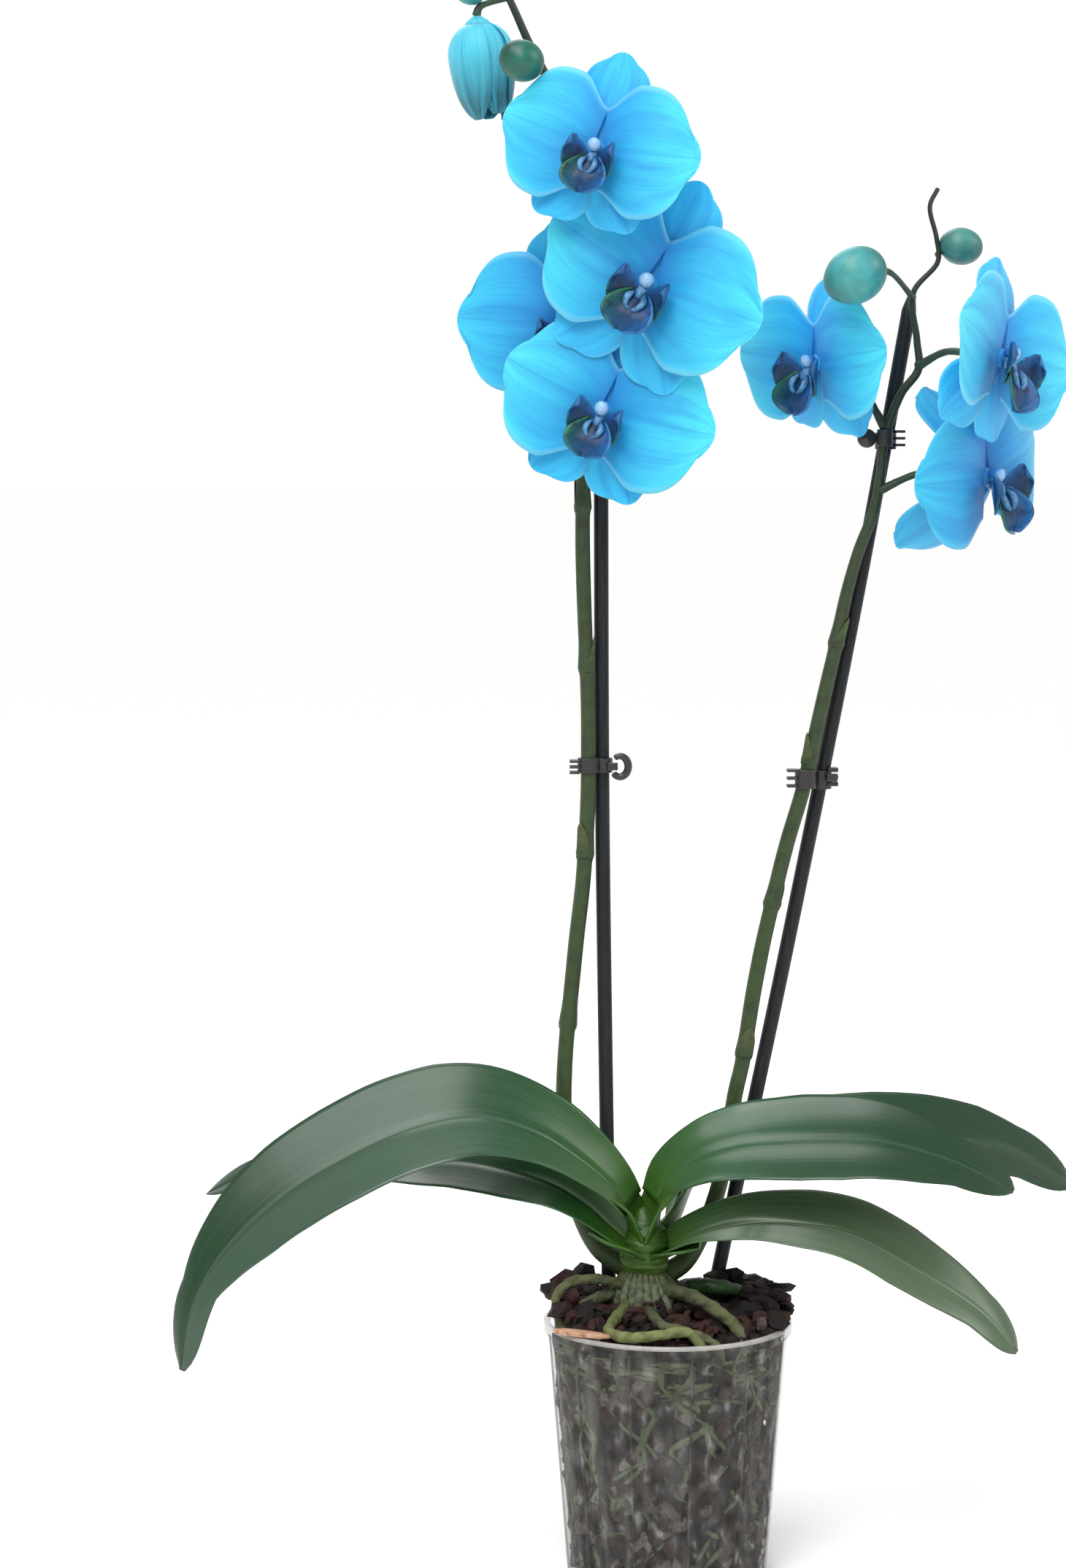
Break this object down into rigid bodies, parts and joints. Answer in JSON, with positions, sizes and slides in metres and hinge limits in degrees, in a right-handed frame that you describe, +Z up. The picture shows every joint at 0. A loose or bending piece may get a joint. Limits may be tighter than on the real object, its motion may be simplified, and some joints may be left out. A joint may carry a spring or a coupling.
{
  "type": "multiflora moth orchid in pot",
  "caption": "Potted moth orchid with dyed blue blooms on tall staked flower stems over broad arching leaves.",
  "frame": {"origin": "centre of the pot's base, on the surface that it stands on", "axes": "+Z up, the tallest way; +X to the viewer's right; -Y towards the viewer, where the blooms face"},
  "size_m": [0.4411, 0.1618, 0.7647],
  "materials": {
    "pot": "clear moulded plastic",
    "bark": "rough, damp pine bark",
    "chip": "raw pale wood",
    "root": "matte, spongy",
    "crown": "waxy living stem",
    "leaf": "waxy living leaf",
    "stem": "waxy living stem",
    "stake": "plastic coat on a rod",
    "clip": "moulded plastic",
    "petal": "soft living petal, dyed",
    "lip": "waxy living petal, dyed",
    "column": "waxy, dyed",
    "bud": "waxy living bud, dyed"
  },
  "bodies": {
    "root": {"pot": "pot", "bark": "bark", "wood_chip": "chip", "roots": "root", "crown": "crown", "leaf_left_front": "leaf", "leaf_left_back": "leaf", "leaf_right_front": "leaf", "leaf_right_back": "leaf", "leaf_right_low": "leaf", "spike_left": "stem", "spike_right": "stem", "stake_left": "stake", "stake_right": "stake", "clip_left": "clip", "clip_right_low": "clip", "clip_right_high": "clip", "bloom_left_1_petals": "petal", "bloom_left_2_petals": "petal", "bloom_left_3_petals": "petal", "bloom_left_4_petals": "petal", "bloom_right_1_petals": "petal", "bloom_right_2_petals": "petal", "bloom_right_3_petals": "petal", "bloom_left_opening": "petal", "bloom_left_1_lip": "lip", "bloom_left_2_lip": "lip", "bloom_left_3_lip": "lip", "bloom_left_4_lip": "lip", "bloom_right_1_lip": "lip", "bloom_right_2_lip": "lip", "bloom_right_3_lip": "lip", "bloom_left_1_column": "column", "bloom_left_2_column": "column", "bloom_left_3_column": "column", "bloom_left_4_column": "column", "bloom_right_1_column": "column", "bloom_right_2_column": "column", "bloom_right_3_column": "column", "bud_left_1": "bud", "bud_left_2": "bud", "bud_right_1": "bud", "bud_right_2": "bud"}
  },
  "joints": []
}
